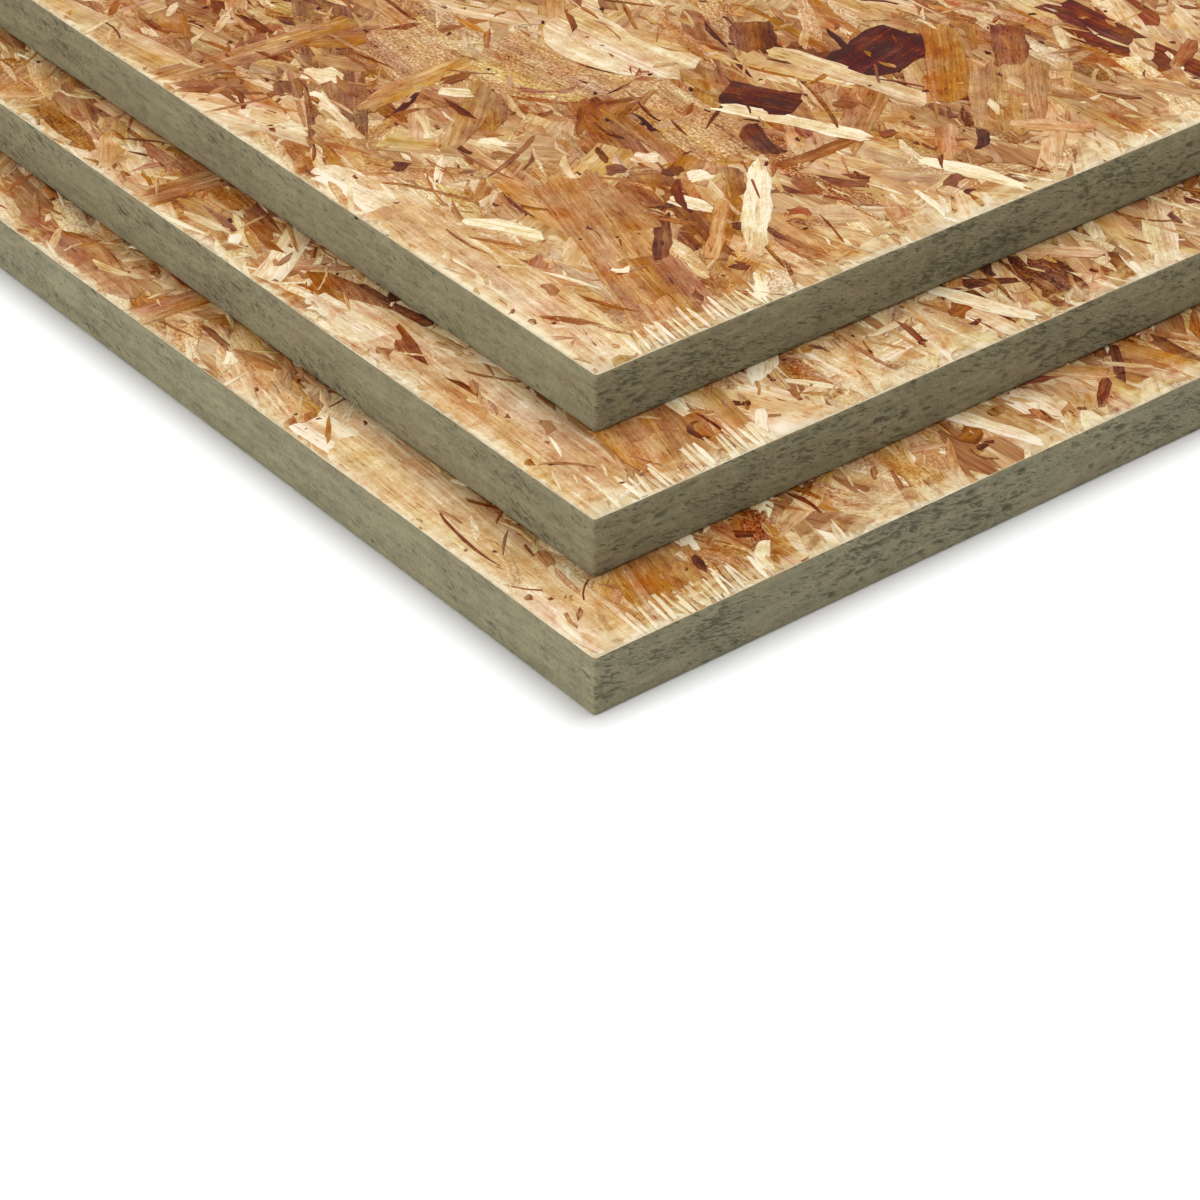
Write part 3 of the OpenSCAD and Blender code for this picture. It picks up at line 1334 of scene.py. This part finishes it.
def lay_fine(layer, chance, settings, kinds, region):
    """Every kind of strand, the large ones first and deepest, for the near corner."""
    long_count = count_for(region, 2.0, settings.long_length, settings.long_width)
    short_count = count_for(region, 0.9, settings.short_length, settings.short_width)
    sliver_count = count_for(region, 0.20, settings.sliver_length, settings.sliver_width)
    bit_count = count_for(region, 0.10, *BIT_COVER)
    speck_count = round(area_of(region) * SPECKS_PER_SQUARE_METRE)
    crack_count = round(area_of(region) * CRACKS_PER_SQUARE_METRE)
    scatter(layer, chance, kinds.long_fine, long_count, region, (-0.46, -0.20), usual_tone)
    scatter(layer, chance, kinds.short_fine, short_count, region, (-0.40, -0.16), usual_tone)
    scatter(layer, chance, kinds.sliver, sliver_count, region, (-0.24, -0.06), sliver_tone)
    scatter(layer, chance, kinds.bit, bit_count, region, (-0.26, -0.08), bit_tone)
    scatter(layer, chance, kinds.speck, speck_count, region, (-0.12, 0.0), speck_tone)
    scatter(layer, chance, kinds.crack, crack_count, region, (-0.10, 0.0), crack_tone)


def strand_piece(name, layer, chance, finish):
    """Joins and saws a layer's strands; gives the piece and its bake map, still to be laid."""
    mesh = layer.mesh(name, chance)
    saw_to_size(mesh, layer.low, layer.high)
    mark_inset(mesh, layer.low, layer.high)
    put_in_scene(name, mesh, finish)
    return BakeMap(mesh)


def far_strands(node, settings, kinds, finish, chance):
    """The rest of the top face, in strips that run the panel's length."""
    low, high = panel_box(node)
    strip = (high.y - low.y - LEDGE_REACH) / FAR_STRIPS
    for number in range(FAR_STRIPS):
        start = low.y + LEDGE_REACH + number * strip
        end = start + strip
        layer = StrandLayer(low, high)
        corner_end = min(max(low.y + NEAR_REACH, start), end)
        x_low, x_high = low.x - EDGE_OVERLAP, high.x + EDGE_OVERLAP
        y_high = end + EDGE_OVERLAP * (number == FAR_STRIPS - 1)
        if corner_end > start:
            near_band = ((x_low, high.x - NEAR_REACH), (start, corner_end))
            lay_coarse(layer, chance, settings, kinds, near_band)
        if y_high > corner_end:
            lay_coarse(layer, chance, settings, kinds, ((x_low, x_high), (corner_end, y_high)))
        bake = strand_piece(f"{node}_far_strands_{number + 1}", layer, chance, finish)
        bake.lay(bake.sizes > 0, bake.x, bake.y, 2, 1.0)
        bake.finish()


def near_strands(node, settings, kinds, finish, chance):
    """The detailed face by the near corner, and the borders that run on from it."""
    low, high = panel_box(node)
    layer = StrandLayer(low, high)
    reach = NEAR_REACH
    if node == TOP_PANEL:
        near = [((high.x - reach, high.x + EDGE_OVERLAP), (low.y - EDGE_OVERLAP, low.y + reach))]
        far = [far_border(low, high)]
    else:
        near = [
            ((high.x - reach, high.x + EDGE_OVERLAP), (low.y - EDGE_OVERLAP, low.y + LEDGE_REACH)),
            ((high.x - LEDGE_REACH, high.x + EDGE_OVERLAP), (low.y + LEDGE_REACH, low.y + reach)),
        ]
        far = far_ledges(low, high)
    for region in near:
        lay_fine(layer, chance, settings, kinds, region)
    lay_signature(layer, chance)
    lay_torn_comb(layer, chance, kinds.comb)
    for region in far:
        lay_coarse(layer, chance, settings, kinds, region)
    bake = strand_piece(node + "_near_strands", layer, chance, finish)
    if node == TOP_PANEL:
        by_corner = bake.middle_x > high.x - NEAR_REACH
        bake.lay(by_corner, bake.x, bake.y, 1, 0.80)
        bake.lay(~by_corner, bake.x, bake.y, 2, 0.20)
    else:
        long_side = bake.middle_y < low.y + LEDGE_REACH
        bake.lay(long_side, bake.x, bake.y, 4, 0.66)
        bake.lay(~long_side, bake.y, bake.x, 2, 0.34)
    bake.finish()


# ---------------------------------------------------------------- operators


class OSB_OT_boards(bpy.types.Operator):
    """Build the three panels' bodies with their sealed edges"""

    bl_idname = "osb.boards"
    bl_label = "Boards and sealed edges"

    def execute(self, context):
        scene = context.scene
        fines = fines_material(scene.osb_face)
        seal = seal_material(scene.osb_edge)
        arris = arris_material(scene.osb_face)
        for node in PANELS:
            panel_board(node, scene.osb_edge, fines, seal, arris)
        return {"FINISHED"}


class OSB_OT_strands(bpy.types.Operator):
    """Lay the strands that show on the panels' faces"""

    bl_idname = "osb.strands"
    bl_label = "Strands"

    def execute(self, context):
        face = context.scene.osb_face
        chance = np.random.default_rng(face.seed)
        kinds = StrandKinds(chance, face)
        finish = strand_material(face)
        for node in PANELS:
            near_strands(node, face, kinds, finish, chance)
        far_strands(TOP_PANEL, face, kinds, finish, chance)
        return {"FINISHED"}


class OSB_OT_stage(bpy.types.Operator):
    """Set up the floor, the lights and the camera"""

    bl_idname = "osb.stage"
    bl_label = "Stage"

    def execute(self, context):
        stage = context.scene.osb_stage
        make_floor(stage)
        make_lights(stage)
        make_camera(stage)
        return {"FINISHED"}


def make_floor(stage):
    """A plain pale floor under the pile."""
    floor = bmesh.new()
    bmesh.ops.create_grid(floor, x_segments=1, y_segments=1, size=stage.floor_size / 2)
    mesh = bpy.data.meshes.new("floor")
    floor.to_mesh(mesh)
    floor.free()
    piece = bpy.data.objects.new("floor", mesh)
    bpy.context.scene.collection.objects.link(piece)
    material = bpy.data.materials.new("pale_floor")
    material.use_nodes = True
    shader = material.node_tree.nodes["Principled BSDF"]
    shader.inputs["Base Color"].default_value = (*stage.floor_colour, 1.0)
    shader.inputs["Roughness"].default_value = 0.9
    shader.inputs["Specular IOR Level"].default_value = 0.1
    mesh.materials.append(material)


def make_light(name, from_place, strength):
    """A very large, far light that shines from a place towards the pile."""
    lamp = bpy.data.lights.new(name, "SUN")
    lamp.angle = LIGHT_ANGLE
    lamp.energy = strength
    light = bpy.data.objects.new(name, lamp)
    light.location = from_place
    light.rotation_euler = from_place.to_track_quat("Z", "Y").to_euler()
    bpy.context.scene.collection.objects.link(light)


def make_lights(stage):
    """Two soft lights in a white room that is bright low down and dim overhead."""
    make_light("key_light", KEY_PLACE, stage.key_strength)
    make_light("fill_light", FILL_PLACE, stage.fill_strength)
    world = bpy.data.worlds.new("room_light")
    world.use_nodes = True
    nodes, links = world.node_tree.nodes, world.node_tree.links
    upward = nodes.new("ShaderNodeSeparateXYZ")
    links.new(nodes.new("ShaderNodeTexCoord").outputs["Generated"], upward.inputs[0])
    strength = nodes.new("ShaderNodeMapRange")
    strength.interpolation_type = "SMOOTHSTEP"
    strength.inputs["From Min"].default_value = WALL_TOP
    strength.inputs["From Max"].default_value = CEILING_START
    strength.inputs["To Min"].default_value = stage.wall_strength
    strength.inputs["To Max"].default_value = stage.ceiling_strength
    links.new(upward.outputs["Z"], strength.inputs["Value"])
    sky = nodes["Background"]
    sky.inputs["Color"].default_value = (1.0, 1.0, 1.0, 1.0)
    links.new(strength.outputs["Result"], sky.inputs["Strength"])
    bpy.context.scene.world = world


def make_camera(stage):
    """Looks down at the stepped corner from in front."""
    low, high = panel_box(TOP_PANEL)
    aim = Vector((high.x, low.y, high.z)) + AIM_OFFSET
    back = Vector((
        math.sin(stage.azimuth) * math.cos(stage.elevation),
        -math.cos(stage.azimuth) * math.cos(stage.elevation),
        math.sin(stage.elevation),
    ))
    lens = bpy.data.cameras.new("camera")
    lens.lens = stage.lens
    lens.sensor_width = 36.0
    lens.clip_start = 0.05
    lens.clip_end = 200.0
    camera = bpy.data.objects.new("camera", lens)
    camera.location = aim + back * stage.distance
    camera.rotation_euler = (-back).to_track_quat("-Z", "Y").to_euler()
    scene = bpy.context.scene
    scene.collection.objects.link(camera)
    scene.camera = camera
    scene.view_settings.view_transform = "Standard"


class OSB_PT_panel(bpy.types.Panel):
    """Lists the settings and steps of the pile"""

    bl_idname = "OSB_PT_panel"
    bl_label = "Strand Boards"
    bl_space_type = "VIEW_3D"
    bl_region_type = "UI"
    bl_category = "Strand Boards"

    def draw(self, context):
        scene = context.scene
        for settings in (scene.osb_face, scene.osb_edge, scene.osb_stage):
            box = self.layout.box()
            for name in settings.__annotations__:
                box.prop(settings, name)
        for operator in (OSB_OT_boards, OSB_OT_strands, OSB_OT_stage):
            self.layout.operator(operator.bl_idname)


CLASSES = (
    BoardFaceSettings,
    BoardEdgeSettings,
    StageSettings,
    OSB_OT_boards,
    OSB_OT_strands,
    OSB_OT_stage,
    OSB_PT_panel,
)


def register():
    """Adds the classes and the scene's settings."""
    for each in CLASSES:
        bpy.utils.register_class(each)
    bpy.types.Scene.osb_face = PointerProperty(type=BoardFaceSettings)
    bpy.types.Scene.osb_edge = PointerProperty(type=BoardEdgeSettings)
    bpy.types.Scene.osb_stage = PointerProperty(type=StageSettings)


def unregister():
    """Takes away what register added."""
    for name in ("osb_face", "osb_edge", "osb_stage"):
        delattr(bpy.types.Scene, name)
    for each in reversed(CLASSES):
        bpy.utils.unregister_class(each)


def main():
    """Builds everything."""
    register()
    bpy.ops.osb.boards()
    bpy.ops.osb.strands()
    bpy.ops.osb.stage()


if __name__ == "__main__":
    main()
